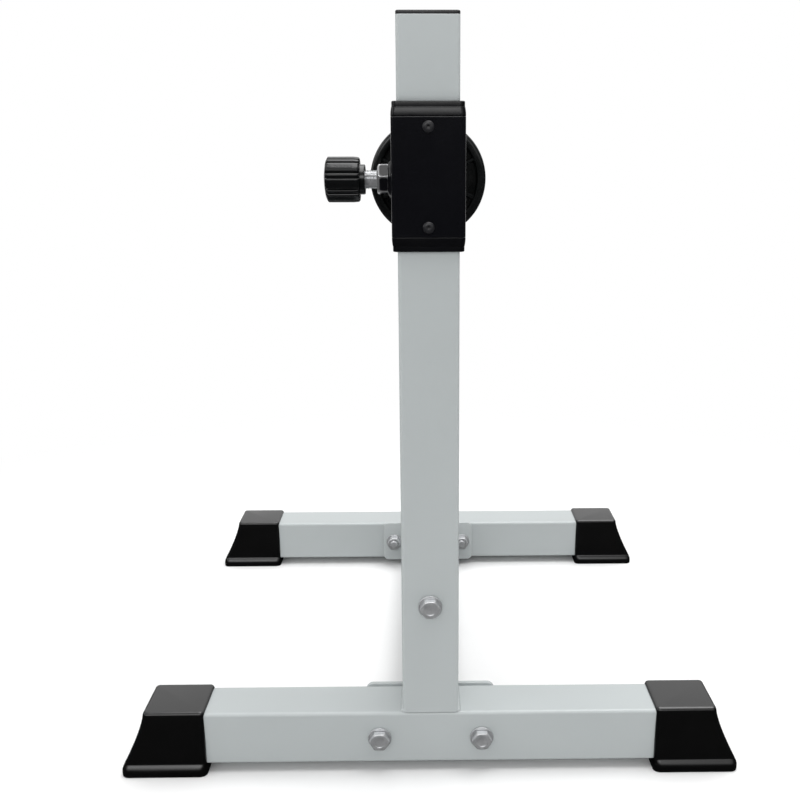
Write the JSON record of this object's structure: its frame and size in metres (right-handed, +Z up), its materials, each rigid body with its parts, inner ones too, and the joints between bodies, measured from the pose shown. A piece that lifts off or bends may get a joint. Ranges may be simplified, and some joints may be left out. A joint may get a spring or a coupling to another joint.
{
  "type": "single leg squat stand",
  "caption": "Single leg squat stand: an H-shaped steel base with one upright, a pin-set sliding sleeve and a padded foot roller that turns on a side axle.",
  "frame": {"origin": "on the floor, at the middle of the base", "axes": "+Z up; X runs along the two feet, with the pull pin on the -X side; +Y runs from the upright to the rear foot"},
  "size_m": [0.6734, 0.6752, 0.785],
  "materials": {
    "frame_paint": "satin",
    "sleeve_paint": "gloss",
    "plug_plastic": "satin",
    "boot_rubber": "matte",
    "zinc_plate": "satin",
    "liner_nylon": "satin",
    "black_screw": "satin",
    "barrel_chrome": "polished",
    "knob_plastic": "gloss",
    "cap_plastic": "gloss",
    "roller_foam": "matte"
  },
  "bodies": {
    "frame": {"front_foot_tube": "frame_paint", "rear_foot_tube": "frame_paint", "upright_tube": "frame_paint", "main_beam_tube": "frame_paint", "beam_front_plate": "frame_paint", "beam_rear_plate": "frame_paint", "brace_tube": "frame_paint", "brace_plate": "frame_paint", "upright_top_plug": "plug_plastic", "front_left_boot": "boot_rubber", "front_right_boot": "boot_rubber", "rear_left_boot": "boot_rubber", "rear_right_boot": "boot_rubber", "front_left_bolt": "zinc_plate", "front_left_head_washer": "zinc_plate", "front_left_nut_washer": "zinc_plate", "front_left_nut": "zinc_plate", "front_right_bolt": "zinc_plate", "front_right_head_washer": "zinc_plate", "front_right_nut_washer": "zinc_plate", "front_right_nut": "zinc_plate", "rear_left_bolt": "zinc_plate", "rear_left_head_washer": "zinc_plate", "rear_left_nut_washer": "zinc_plate", "rear_left_nut": "zinc_plate", "rear_right_bolt": "zinc_plate", "rear_right_head_washer": "zinc_plate", "rear_right_nut_washer": "zinc_plate", "rear_right_nut": "zinc_plate", "brace_bolt": "zinc_plate", "brace_head_washer": "zinc_plate", "brace_nut_washer": "zinc_plate", "brace_nut": "zinc_plate"},
    "sleeve": {"sleeve_tube": "sleeve_paint", "upper_liner": "liner_nylon", "lower_liner": "liner_nylon", "upper_liner_screw": "black_screw", "lower_liner_screw": "black_screw", "pin_boss_nut": "sleeve_paint", "pin_barrel": "barrel_chrome", "pin_spring": "zinc_plate", "axle_flange": "sleeve_paint", "roller_axle": "zinc_plate", "axle_thrust_washer": "liner_nylon", "axle_end_washer": "zinc_plate", "axle_end_bolt": "zinc_plate"},
    "pull_pin": {"pull_knob": "knob_plastic", "pull_pin": "zinc_plate"},
    "roller": {"roller_core": "zinc_plate", "roller_foam": "roller_foam", "roller_front_cap": "cap_plastic", "roller_rear_cap": "cap_plastic", "roller_front_bush": "liner_nylon", "roller_rear_bush": "liner_nylon"}
  },
  "joints": [
    {"name": "sleeve_slide", "type": "slide", "parent": "frame", "child": "sleeve", "axis": [0, 0, 1], "range_m": [-0.3, 0.05]},
    {"name": "pull_pin_slide", "type": "slide", "parent": "sleeve", "child": "pull_pin", "axis": [1, 0, 0], "range_m": [0, 0.0115], "deforming": ["pin_spring"]},
    {"name": "roller_spin", "type": "hinge", "parent": "sleeve", "child": "roller", "pos_m": [0, -0.25, 0.633], "axis": [0, 1, 0], "continuous": true}
  ]
}
